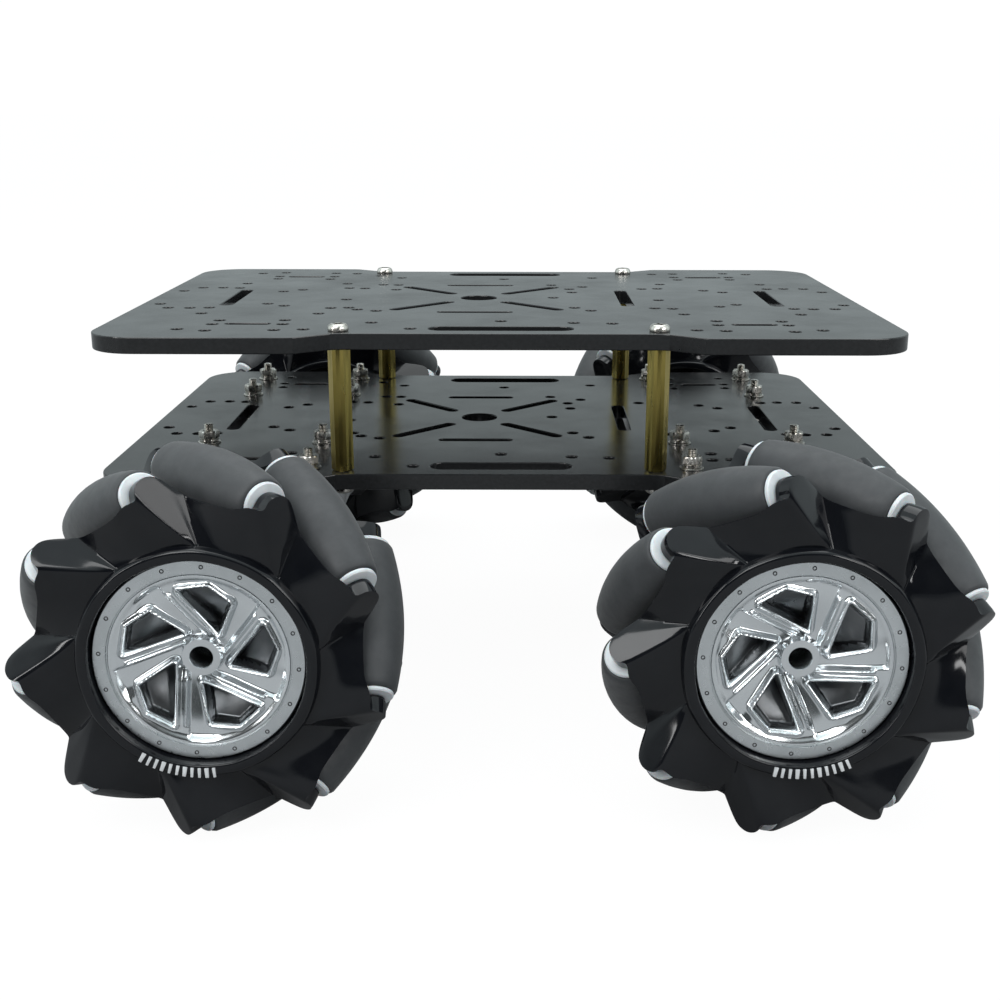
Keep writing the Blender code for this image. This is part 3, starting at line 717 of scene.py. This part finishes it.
# ------------------------------------------------------------------ gear motors
def motor_objects(corner, matrix):
    """A gear motor along Z from its rear end to its gearbox face, in the frame that lays Z along the axle."""
    face = BRACKET_FACE - 2.5 - 0.3
    can = [(0.05, 12.0), (15.8, 12.0), (16.9, 12.6), (17.2, 13.4), (17.2, 22.0), (16.9, 22.2), (16.9, 23.0), (17.2, 23.2), (17.2, 50.0), (0.05, 50.0)]
    v, f = lathe(can, 56)
    put("motor_can_" + corner, v, f, M["can"], "chassis", matrix, smooth=30, slot="motor")
    gearbox = [(0.05, 50.1), (18.1, 50.1), (18.45, 50.5), (18.45, 54.3), (18.1, 54.6), (18.1, 55.0), (18.45, 55.3), (18.45, face - 1.0), (17.6, face), (6.0, face), (6.0, 80.5), (5.7, 80.7), (3.1, 80.7), (0.05, 80.7)]
    v, f = lathe(gearbox, 56)
    box = put("motor_gearbox_" + corner, v, f, M["gearbox"], "chassis", matrix, smooth=30, slot="motor")
    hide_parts("motor_" + corner)
    cap = [(0.05, 9.0), (10.5, 9.0), (11.6, 9.6), (12.0, 10.6), (12.0, 11.9), (0.05, 11.9)]
    v, f = lathe(cap, 40)
    put("motor_end_cap_" + corner, v, f, M["endcap"], "chassis", matrix, smooth=30, slot="motor")
    tabs = []
    for s in (1, -1):
        tabs.append(prism([(s * 8.5 - 1.4, -0.3), (s * 8.5 + 1.4, -0.3), (s * 8.5 + 1.4, 0.3), (s * 8.5 - 1.4, 0.3)], 6.2, 9.2))
    v, f = joined(*tabs)
    put("motor_terminals_" + corner, v, f, M["terminal"], "chassis", matrix, bevel=0.12, slot="motor")
    # The flat face screws of the gearbox.
    heads = []
    for i in range(6):
        a = math.radians(30 + 60 * i)
        m = Matrix.Translation((15.5 * math.cos(a), 15.5 * math.sin(a), BRACKET_FACE + 0.03))
        heads.append(moved(lathe([(0.02, -1.9), (1.42, -1.9), (1.42, 0.0), (2.55, 0.0), (2.7, 0.25), (2.6, 1.0), (2.1, 1.5), (1.2, 1.7), (1.05, 1.2), (0.02, 1.1)], 24), m))
    v, f = joined(*heads)
    put("motor_face_screws_" + corner, v, f, M["nickel"], "chassis", matrix, smooth=34, slot="motor")


for corner, (sx, sy) in CORNERS.items():
    side = Matrix.Rotation(0.0 if sy > 0 else math.pi, 4, "Z")
    where = Matrix.Translation((sx * WHEELBASE / 2 * MM, 0, 0)) @ side
    bracket_object(corner, where)
    along = Matrix.Translation((0, 0, AXLE_Z * MM)) @ Matrix.Rotation(math.radians(-90), 4, "X")
    motor_objects(corner, where @ along)


# ------------------------------------------------------------------ wheels
def wheel_point(x, c, z, azimuth):
    """From a roller's own frame (x radial, c clockwise, z out) to the wheel's."""
    a = math.radians(azimuth)
    return (x * math.cos(a) + c * math.sin(a), x * math.sin(a) - c * math.cos(a), z)


def polar_point(r, clockwise, z):
    a = math.radians(-clockwise)
    return (r * math.cos(a), r * math.sin(a), z)


EAR_R, EAR_FRONT, EAR_BACK = 4.15, 26.2, 21.7
RING_R = 29.7


def ear_point(beta, s):
    """A point of the ear round the pin: beta is measured from the radial line, s lies along the roller's axis."""
    b = math.radians(beta)
    x = PITCH_R + EAR_R * math.cos(b)
    w = EAR_R * math.sin(b)
    return (x, (s - w) * SQ, (s + w) * SQ)


def rp(r, delta, z):
    d = math.radians(delta)
    return (r * math.cos(d), r * math.sin(d), z)


def blade_columns():
    """One tooth: (lip angle, lip height, outer edge point, inner edge point, bulge of the radial line, crease)."""
    cols = [
        (-0.6, 18.6, rp(40.9, -6.4, 14.3), rp(40.2, -6.6, 11.9), 0.0, 0.75),
        (2.2, 18.7, rp(40.2, -3.6, 15.6), rp(39.6, -3.4, 13.3), 0.0, 0.0),
        (11.0, 18.8, rp(39.9, 4.4, 18.2), rp(39.5, 4.8, 16.2), 0.0, 0.0),
        (21.0, 18.9, rp(40.3, 11.6, 20.4), rp(39.9, 11.9, 18.95), 0.0, 0.0),
        (28.5, 19.0, (41.3, 12.0, 21.25), (40.3, 11.7, 19.75), 0.15, 0.0),
    ]
    for lip, beta, bulge, crease in ((35.6, 90, 0.35, 0.0), (37.0, 48, 0.3, 0.35), (38.0, 5, 0.1, 0.0), (38.6, -40, 0.0, 0.0), (38.9, -84, 0.0, 0.0)):
        front = ear_point(beta, EAR_FRONT)
        back = ear_point(beta, EAR_BACK)
        cols.append((lip, 19.0, front, back, bulge, crease))
    return cols


def carrier_mesh():
    """One moulded roller carrier (the outer one): lip, nine blades with their ears, and its half of the barrel."""
    cols = []
    for k in range(ROLLERS):
        for lip, lip_z, outer, inner, bulge, crease in blade_columns():
            cols.append((k, lip, lip_z, outer, inner, bulge, crease))
    n = len(cols)
    rows = []

    def from_roller(k, p):
        return Vector(wheel_point(p[0], p[1], p[2], -40.0 * k))

    def ring(r, z, shift=0.0):
        return [Vector(polar_point(r, 40.0 * k + lip + shift, z)) for k, lip, *_ in cols]

    rows.append(ring(26.3, 0.25))
    rows.append(ring(26.3, 12.0))
    rows.append(ring(26.3, 20.2))
    rows.append(ring(26.6, 20.85))
    rows.append(ring(28.6, 20.95))
    rows.append(ring(29.35, 20.5))
    outer_ring = [Vector(polar_point(RING_R, 40.0 * k + lip, z)) for k, lip, z, *_ in cols]
    inner_ring = [Vector(polar_point(29.35, 40.0 * k + lip, z - 2.9)) for k, lip, z, *_ in cols]
    outer_edge = [from_roller(k, o) for k, _, _, o, *_ in cols]
    inner_edge = [from_roller(k, i) for k, _, _, _, i, *_ in cols]
    bulges = [c[5] for c in cols]
    rows.append(outer_ring)
    for t in (0.2, 0.45, 0.72):
        rows.append([a.lerp(b, t) + Vector((0, 0, bulge * math.sin(math.pi * t))) for a, b, bulge in zip(outer_ring, outer_edge, bulges)])
    edge_row = len(rows)
    rows.append(outer_edge)
    rows.append(inner_edge)
    for t in (0.3, 0.7):
        rows.append([a.lerp(b, t) for a, b in zip(inner_edge, inner_ring)])
    rows.append(inner_ring)
    rows.append(ring(29.0, 12.0))
    rows.append(ring(29.0, 0.25))
    verts = [tuple(v) for row in rows for v in row]
    faces = []
    m = len(rows)
    for k in range(m):
        a, b = k * n, ((k + 1) % m) * n
        for i in range(n):
            j = (i + 1) % n
            faces.append((a + i, a + j, b + j, b + i))
    creases = {}
    for i in range(n):
        j = (i + 1) % n
        for row, value in ((edge_row, 0.55), (edge_row + 1, 0.8), (0, 1.0), (m - 1, 1.0), (3, 0.35), (4, 0.35), (6, 0.6), (edge_row + 4, 0.5)):
            creases[(row * n + i, row * n + j)] = value
        crease = cols[i][6]
        if crease:
            for row in range(6, edge_row):
                creases[(row * n + i, (row + 1) * n + i)] = crease
    return verts, faces, creases


def lip_marks():
    """A short row of raised bright ribs low on the lip: painted glints, standing in for the highlights on the glossy
    lip.
    """
    parts = []
    for i in range(11):
        a = -90.0 + (i - 5) * 3.7
        m = Matrix.Rotation(math.radians(a), 4, "Z")
        w, h = (0.42, 0.85) if i % 3 else (0.55, 0.85)
        box = []
        for x, y in ((26.9, -w), (29.4, -w * 0.8), (29.4, w * 0.8), (26.9, w)):
            box.append((x, y))
        v, f = prism(box, 20.7, 21.25)
        parts.append(moved((v, f), m))
    return joined(*parts)


def roller_profile(s):
    return WHEEL_R - math.hypot(PITCH_R, s * SQ)


def rubber_mesh():
    half, bore = 20.05, 2.6
    profile = [(bore, -half), (roller_profile(half) - 0.75, -half)]
    for i in range(4):
        a = math.pi / 2 * (i + 1) / 5
        profile.append((roller_profile(half) - 0.75 + 0.75 * math.sin(a), -half + 0.7 - 0.7 * math.cos(a)))
    steps = 26
    for i in range(steps + 1):
        s = -half + 0.75 + (2 * half - 1.5) * i / steps
        profile.append((roller_profile(s) - 0.03, s))
    for r, z in profile[5:1:-1]:
        profile.append((r, -z))
    profile += [(roller_profile(half) - 0.75, half), (bore, half)]
    return lathe(profile, 44, closed=True)


def bush_mesh():
    """The two flanged nylon bushes of one roller, one at each end."""
    one = [(1.75, 14.0), (2.5, 14.0), (2.5, 20.1), (5.45, 20.1), (5.75, 20.3), (5.75, 20.85), (5.45, 21.2), (4.2, 21.4), (1.75, 21.45)]
    front = lathe(one, 40, closed=True)
    back = moved(front, Matrix.Rotation(math.pi, 4, "X"))
    return joined(front, back)


def pins_mesh():
    """Nine steel roller pins, each ending inside the ears that hold it."""
    parts = []
    for k in range(ROLLERS):
        az = math.radians(-40.0 * k)
        radial = Vector((math.cos(az), math.sin(az), 0))
        clock = Vector((math.sin(az), -math.cos(az), 0))
        axis = (clock + Vector((0, 0, 1))).normalized()
        across = axis.cross(radial)
        turn = Matrix((radial, across, axis)).transposed().to_4x4()
        m = Matrix.Translation(radial * PITCH_R) @ turn
        pin = [(0.05, -25.2), (1.2, -25.2), (1.5, -24.9), (1.5, 24.9), (1.2, 25.2), (0.05, 25.2)]
        parts.append(moved(lathe(pin, 24), m))
    return joined(*parts)


# ---- rim insert
WINDOW = ((7.4, -2.0), (16.6, 5.0), (18.9, 25.0), (18.3, 46.0))


def window_outline():
    """One window of the rim, as (radius, degrees) corners turned into points."""
    return [(r * math.cos(math.radians(a)), r * math.sin(math.radians(a))) for r, a in WINDOW]


def signed_distance(px, py, poly):
    """Distance to a polygon, negative inside, for arrays of points."""
    d = np.full(px.shape, 1e9)
    inside = np.zeros(px.shape, bool)
    n = len(poly)
    for i in range(n):
        ax, ay = poly[i]
        bx, by = poly[(i + 1) % n]
        ex, ey = bx - ax, by - ay
        wx, wy = px - ax, py - ay
        t = np.clip((wx * ex + wy * ey) / (ex * ex + ey * ey), 0, 1)
        d = np.minimum(d, np.hypot(wx - ex * t, wy - ey * t))
        crosses = ((ay > py) != (by > py)) & (px < (bx - ax) * (py - ay) / (by - ay + 1e-12) + ax)
        inside ^= crosses
    return np.where(inside, -d, d)


def smooth(e0, e1, x):
    t = np.clip((x - e0) / (e1 - e0), 0, 1)
    return t * t * (3 - 2 * t)


BAND_Z = 17.9


def rim_height(px, py):
    """The height of the insert's face: a dish with five sunk windows, a ridge round each and a second ridge beside it."""
    r = np.hypot(px, py)
    base = BAND_Z - 1.0 - 3.4 * (1 - smooth(4.0, 21.5, r)) ** 1.2
    poly = window_outline()
    windows = np.full(px.shape, 1e9)
    second = np.full(px.shape, 1e9)
    lean = np.zeros(px.shape)
    for k in range(5):
        a = math.radians(72.0 * k)
        qx = px * math.cos(a) + py * math.sin(a)
        qy = -px * math.sin(a) + py * math.cos(a)
        windows = np.minimum(windows, signed_distance(qx, qy, poly))
        # The second ridge of each spoke runs beside the window's long straight side.
        ax, ay, bx, by = 5.3, 2.0, 10.1, 14.6
        ex, ey = bx - ax, by - ay
        t = np.clip(((qx - ax) * ex + (qy - ay) * ey) / (ex * ex + ey * ey), 0, 1)
        d = np.hypot(qx - ax - ex * t, qy - ay - ey * t)
        second = np.minimum(second, d)
        # The plain facet beyond it leans like a fan's blade.
        side = (-(qx - ax) * ey + (qy - ay) * ex) / math.hypot(ex, ey)
        lean = np.maximum(lean, smooth(0.2, 1.2, side) * smooth(9.5, 5.5, side) * smooth(-2.0, 1.0, (qx - ax) * ex + (qy - ay) * ey))
    z = base - 0.9 * lean * smooth(0.9, 1.9, windows)
    # Window floors are sunk and slope down to the inner corner.
    sink = smooth(0.15, -0.7, windows)
    z = z - sink * (2.4 + 2.6 * smooth(19.0, 8.0, r))
    # The ridge round each window, and the second one.
    crest = np.exp(-((windows - 0.8) / 0.62) ** 2)
    z = z + 1.15 * crest
    other = np.exp(-(second / 0.5) ** 2)
    z = z + 0.95 * other * smooth(1.3, 1.9, windows)
    # The rounded outer wall up to the band.
    wall = smooth(20.0, 21.8, r)
    z = z * (1 - wall) + (BAND_Z - 0.25) * wall
    # The boss round the bore.
    boss = smooth(5.4, 4.7, r)
    z = z * (1 - boss) + (BAND_Z - 2.6) * boss
    return z


def rim_mesh():
    """The plated insert: the sculpted face, the bore, and a flat back, as one closed grid."""
    radii = [2.8, 2.95, 3.4, 4.0, 4.4, 4.7, 4.9, 5.1, 5.35] + list(np.linspace(5.6, 22.0, 74))
    sides = 420
    ang = np.arange(sides) * 2 * math.pi / sides
    R, A = np.meshgrid(np.array(radii), ang, indexing="ij")
    X, Y = R * np.cos(A), R * np.sin(A)
    Z = rim_height(X, Y)
    Z[0] -= 0.25
    verts = [tuple(p) for p in np.stack([X, Y, Z], -1).reshape(-1, 3)]
    rows = len(radii)
    for r, z in ((22.0, 3.0), (2.8, 3.0)):
        verts += [(r * math.cos(a), r * math.sin(a), z) for a in ang]
    faces = []
    total = rows + 2
    for k in range(total):
        a, b = k * sides, ((k + 1) % total) * sides
        for i in range(sides):
            j = (i + 1) % sides
            faces.append((a + i, a + j, b + j, b + i))
    return verts, faces


def paint_shade_in_windows(obj):
    """Gives the window floors of the master insert their own darkened material: painted shade in the recesses."""
    poly = window_outline()
    obj.data.materials.append(M["window"])
    for face in obj.data.polygons:
        c = face.center / MM
        if c.z < 5 or math.hypot(c.x, c.y) < 6:
            continue
        nearest = 1e9
        for k in range(5):
            a = math.radians(72.0 * k)
            qx, qy = c.x * math.cos(a) + c.y * math.sin(a), -c.x * math.sin(a) + c.y * math.cos(a)
            if math.hypot(qx - 12.5, qy - 6.0) < 11:
                nearest = min(nearest, float(signed_distance(np.array([qx]), np.array([qy]), poly)[0]))
        if nearest < -0.35:
            face.material_index = 1


def band_mesh():
    """The rim's flat outer band with a turned groove and a fine chamfer."""
    profile = [
        (22.03, 12.5), (22.03, BAND_Z - 0.55), (22.25, BAND_Z - 0.35), (22.45, BAND_Z - 0.35), (22.6, BAND_Z), (25.6, BAND_Z),
        (25.95, BAND_Z - 0.35), (26.0, BAND_Z - 0.6), (26.0, 12.5),
    ]
    return lathe(profile, 120, closed=True)


def marks_mesh():
    """Sixteen small socket screws round the band."""
    parts = []
    for k in range(16):
        a = math.radians(11.25 + 22.5 * k)
        head = [(0.03, -0.6), (0.55, -0.6), (0.55, 0.08), (0.48, 0.16), (0.36, 0.17), (0.3, -0.05), (0.03, -0.1)]
        parts.append(moved(lathe(head, 16), Matrix.Translation((24.2 * math.cos(a), 24.2 * math.sin(a), BAND_Z + 0.02))))
    return joined(*parts)


def web_mesh():
    """The wheel's web behind the rim insert: a disc with a long boss at its back."""
    profile = [
        (0.05, 1.9), (25.9, 1.9), (26.2, 1.6), (26.2, -1.6), (25.9, -1.9), (12.0, -1.9), (10.2, -2.6), (9.2, -4.5), (9.0, -20.4), (8.5, -20.9), (0.05, -20.9),
    ]
    return lathe(profile, 72)


def ribs_mesh():
    parts = []
    for k in range(9):
        m = Matrix.Rotation(math.radians(40.0 * k + 20), 4, "Z") @ Matrix.Rotation(math.radians(90), 4, "X")
        v, f = prism([(8.6, -18.5), (9.6, -18.5), (25.9, -8.0), (25.9, -1.7), (8.6, -1.7)], -0.8, 0.8)
        parts.append(moved((v, f), m))
    return joined(*parts)


def coupling_mesh():
    """A hexagonal shaft coupling with rounded ends."""
    sides, af = 48, 12.0
    rc = af / math.sqrt(3)

    def hex_radius(t):
        t = (t + math.pi / 6) % (math.pi / 3) - math.pi / 6
        return (af / 2) / math.cos(t)

    levels = []
    for z, cap in ((-33.9, af / 2 - 0.25), (-33.3, rc + 1), (-22.0, rc + 1), (-21.3, af / 2 - 0.25)):
        levels.append([(min(hex_radius(2 * math.pi * i / sides), cap) * math.cos(2 * math.pi * i / sides), min(hex_radius(2 * math.pi * i / sides), cap) * math.sin(2 * math.pi * i / sides), z) for i in range(sides)])
    verts = [p for ring in levels for p in ring]
    faces = [(k * sides + i, k * sides + (i + 1) % sides, (k + 1) * sides + (i + 1) % sides, (k + 1) * sides + i) for k in range(3) for i in range(sides)]
    faces.append(tuple(range(sides))[::-1])
    faces.append(tuple(3 * sides + i for i in range(sides)))
    return verts, faces


def mirrored_part(part):
    v, f = part
    return [(x, -y, z) for x, y, z in v], [tuple(reversed(face)) for face in f]


def hub_matrix(corner):
    sx, sy = CORNERS[corner]
    out, up = Vector((0, sy, 0)), Vector((0, 0, 1))
    turn = Matrix((up.cross(out), up, out)).transposed().to_4x4()
    return Matrix.Translation((sx * WHEELBASE / 2 * MM, sy * TRACK / 2 * MM, AXLE_Z * MM)) @ turn


carrier_v, carrier_f, carrier_c = carrier_mesh()
rim_part, band_part, mark_part = rim_mesh(), band_mesh(), marks_mesh()
made = {}
for corner, (sx, sy) in CORNERS.items():
    hand = 1 if sy < 0 else -1
    body = "wheel_" + corner
    hub = hub_matrix(corner)
    spin = hub @ Matrix.Rotation(math.radians(PHASE[corner]), 4, "Z")
    key = hand
    if key not in made:
        part = (carrier_v, carrier_f)
        if hand < 0:
            part = mirrored_part(part)
        master = put("carrier_master_%d" % (hand > 0), part[0], part[1], M["carrier"], None, smooth=50, creases=carrier_c, levels=2)
        pins = pins_mesh() if hand > 0 else mirrored_part(pins_mesh())
        made[key] = (master, pins)
        masters.append(master)
    master, pins = made[key]
    outer = copy_of(master, "carrier_outer_" + corner, body, spin)
    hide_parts("wheel_core_" + corner)
    # The inner carrier is the same moulding turned half round about a roller's radial line.
    copy_of(master, "carrier_inner_" + corner, body, spin @ Matrix.Rotation(math.pi, 4, "X"))
    if "lip" not in made:
        made["lip"] = put("lip_marks_master", *lip_marks(), M["lip_mark"], None, bevel=0.12)
        made["pins_%d" % hand] = None
        made["web"] = put("web_master", *web_mesh(), M["inner_black"], None, smooth=30)
        made["ribs"] = put("ribs_master", *ribs_mesh(), M["inner_black"], None, bevel=0.25)
        made["coupling"] = put("coupling_master", *coupling_mesh(), M["nickel"], None, smooth=20)
        made["shaft"] = put("shaft_master", *lathe([(0.05, -42.5), (2.6, -42.5), (3.0, -42.1), (3.0, -33.8), (0.05, -33.8)], 32), M["gearbox"], None, smooth=30)
        made["rim"] = put("rim_master", rim_part[0], rim_part[1], M["plating"], None, smooth=42)
        # Painted shade: the window floors get the darkened plating.
        paint_shade_in_windows(made["rim"])
        made["band"] = put("band_master", band_part[0], band_part[1], M["band"], None, smooth=25)
        made["marks"] = put("marks_master", mark_part[0], mark_part[1], M["endcap"], None, smooth=30)
        made["rubber"] = put("rubber_master", *rubber_mesh(), M["rubber"], None, smooth=60)
        made["bush"] = put("bush_master", *bush_mesh(), M["bush"], None, smooth=35)
        masters += [made[k] for k in ("lip", "web", "ribs", "coupling", "shaft", "rim", "band", "marks", "rubber", "bush")]
    if made.get("pin_mesh_%d" % hand) is None:
        made["pin_mesh_%d" % hand] = put("pins_master_%d" % (hand > 0), pins[0], pins[1], M["nickel"], None, smooth=30)
        masters.append(made["pin_mesh_%d" % hand])
    copy_of(made["pin_mesh_%d" % hand], "roller_pins_" + corner, body, spin)
    # The painted glints sit low on each wheel's lip.
    copy_of(made["lip"], "lip_painted_glints_" + corner, body, hub @ Matrix.Rotation(math.radians(LIP_GLINT_TURN[corner]), 4, "Z"))
    copy_of(made["web"], "wheel_web_" + corner, body, hub)
    copy_of(made["ribs"], "wheel_web_ribs_" + corner, body, hub)
    copy_of(made["coupling"], "shaft_coupling_" + corner, body, hub)
    copy_of(made["shaft"], "output_shaft_" + corner, body, hub)
    face = hub @ Matrix.Rotation(math.radians(FACE_TURN[corner]), 4, "Z")
    rim = copy_of(made["rim"], "rim_insert_" + corner, body, face)
    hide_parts("wheel_rim_" + corner)
    copy_of(made["band"], "rim_band_" + corner, body, face)
    copy_of(made["marks"], "rim_screws_" + corner, body, face)
    for k in range(ROLLERS):
        azimuth = math.radians(PHASE[corner] + 40.0 * k)
        radial = Vector((math.cos(azimuth), math.sin(azimuth), 0))
        anticlock = Vector((-math.sin(azimuth), math.cos(azimuth), 0))
        axis = (-hand * SQ * anticlock + SQ * Vector((0, 0, 1))).normalized()
        turn = Matrix((radial, axis.cross(radial), axis)).transposed().to_4x4()
        where = hub @ Matrix.Translation(radial * PITCH_R * MM) @ turn
        tag = "%s_%d" % (corner, k + 1)
        rubber = copy_of(made["rubber"], "roller_rubber_" + tag, "roller_" + tag, where)
        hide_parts("roller_" + tag)
        copy_of(made["bush"], "roller_bushes_" + tag, "roller_" + tag, where)

for master in masters:
    bpy.data.objects.remove(master)

# ------------------------------------------------------------------ floor, light and camera
floor_mesh = bpy.data.meshes.new("studio_floor")
floor_mesh.from_pydata([(-60, -60, 0), (60, -60, 0), (60, 60, 0), (-60, 60, 0)], [], [(0, 1, 2, 3)])
floor_mesh.materials.append(M["floor"])
floor = bpy.data.objects.new("studio_floor", floor_mesh)
COLLECTION.objects.link(floor)

world = bpy.data.worlds.new("studio")
bpy.context.scene.world = world
world.use_nodes = True
background = world.node_tree.nodes["Background"]


def studio_world():
    """A white room that is dim low down on the side where the photographer stands."""
    tree = world.node_tree
    coord = tree.nodes.new("ShaderNodeTexCoord")
    split = tree.nodes.new("ShaderNodeSeparateXYZ")
    tree.links.new(coord.outputs["Generated"], split.inputs["Vector"])
    side = tree.nodes.new("ShaderNodeMapRange")
    side.interpolation_type = "SMOOTHSTEP"
    side.inputs["From Min"].default_value = -0.55
    side.inputs["From Max"].default_value = 0.1
    side.inputs["To Min"].default_value = 0.0
    side.inputs["To Max"].default_value = 1.0
    tree.links.new(split.outputs["Y"], side.inputs["Value"])
    height = tree.nodes.new("ShaderNodeMapRange")
    height.interpolation_type = "SMOOTHSTEP"
    height.inputs["From Min"].default_value = 0.45
    height.inputs["From Max"].default_value = 0.85
    height.inputs["To Min"].default_value = 0.0
    height.inputs["To Max"].default_value = 1.0
    tree.links.new(split.outputs["Z"], height.inputs["Value"])
    far = tree.nodes.new("ShaderNodeMapRange")
    far.interpolation_type = "SMOOTHSTEP"
    far.inputs["From Min"].default_value = 0.25
    far.inputs["From Max"].default_value = 0.75
    far.inputs["To Min"].default_value = 1.0
    far.inputs["To Max"].default_value = 0.42
    tree.links.new(split.outputs["Y"], far.inputs["Value"])
    dim = tree.nodes.new("ShaderNodeMath")
    dim.operation = "MULTIPLY"
    tree.links.new(side.outputs["Result"], dim.inputs[0])
    tree.links.new(far.outputs["Result"], dim.inputs[1])
    most = tree.nodes.new("ShaderNodeMath")
    most.operation = "MAXIMUM"
    tree.links.new(dim.outputs["Value"], most.inputs[0])
    tree.links.new(height.outputs["Result"], most.inputs[1])
    level = tree.nodes.new("ShaderNodeMapRange")
    level.inputs["To Min"].default_value = 0.04
    level.inputs["To Max"].default_value = 1.15
    tree.links.new(most.outputs["Value"], level.inputs["Value"])
    ray = tree.nodes.new("ShaderNodeLightPath")
    pick = tree.nodes.new("ShaderNodeMix")
    pick.data_type = "FLOAT"
    tree.links.new(ray.outputs["Is Camera Ray"], pick.inputs[0])
    tree.links.new(level.outputs["Result"], pick.inputs[2])
    pick.inputs[3].default_value = 1.02
    tree.links.new(pick.outputs[0], background.inputs["Strength"])
    tint = tree.nodes.new("ShaderNodeMix")
    tint.data_type = "RGBA"
    tint.inputs[6].default_value = (0.93, 1.05, 1.07, 1)
    tint.inputs[7].default_value = (1.0, 1.0, 1.0, 1)
    tree.links.new(ray.outputs["Is Camera Ray"], tint.inputs[0])
    tree.links.new(tint.outputs[2], background.inputs["Color"])


studio_world()


def area(name, location, target, size, power, size_y=None, colour=(1, 1, 1)):
    light = bpy.data.lights.new(name, "AREA")
    light.energy = power
    light.color = colour
    light.shape = "RECTANGLE"
    light.size = size
    light.size_y = size_y or size
    obj = bpy.data.objects.new(name, light)
    COLLECTION.objects.link(obj)
    obj.location = location
    obj.rotation_euler = (Vector(target) - Vector(location)).to_track_quat("-Z", "Y").to_euler()
    return obj


area("key_softbox", (-0.5, -0.9, 1.1), (0, 0, 0.05), 0.7, 9.0)
area("fill_softbox", (0.9, -0.7, 0.7), (0, 0, 0.05), 0.6, 5.0)
area("left_strip", (-0.75, -0.55, 0.42), (0, 0, 0.05), 0.12, 2.2, 0.5)
area("right_strip", (0.55, -0.95, 0.5), (0, 0, 0.05), 0.10, 1.6, 0.4)
area("top_softbox", (0.0, 0.3, 1.3), (0, 0, 0.05), 1.2, 9.0)

camera = bpy.data.cameras.new("camera")
camera.sensor_width = 36.0
camera.lens = 48.64
camera.shift_x = -0.018
camera.shift_y = 0.0076
camera.clip_start = 0.01
camera.clip_end = 50
cam = bpy.data.objects.new("camera", camera)
COLLECTION.objects.link(cam)
cam.matrix_world = (
    Matrix.Translation((0.003685, -0.44516, 0.1766))
    @ Matrix.Rotation(math.radians(-0.07), 4, "Z")
    @ Matrix.Rotation(math.radians(90 - 16.4), 4, "X")
    @ Matrix.Rotation(math.radians(0.142), 4, "Z")
)
bpy.context.scene.camera = cam
bpy.context.scene.view_settings.view_transform = "Standard"
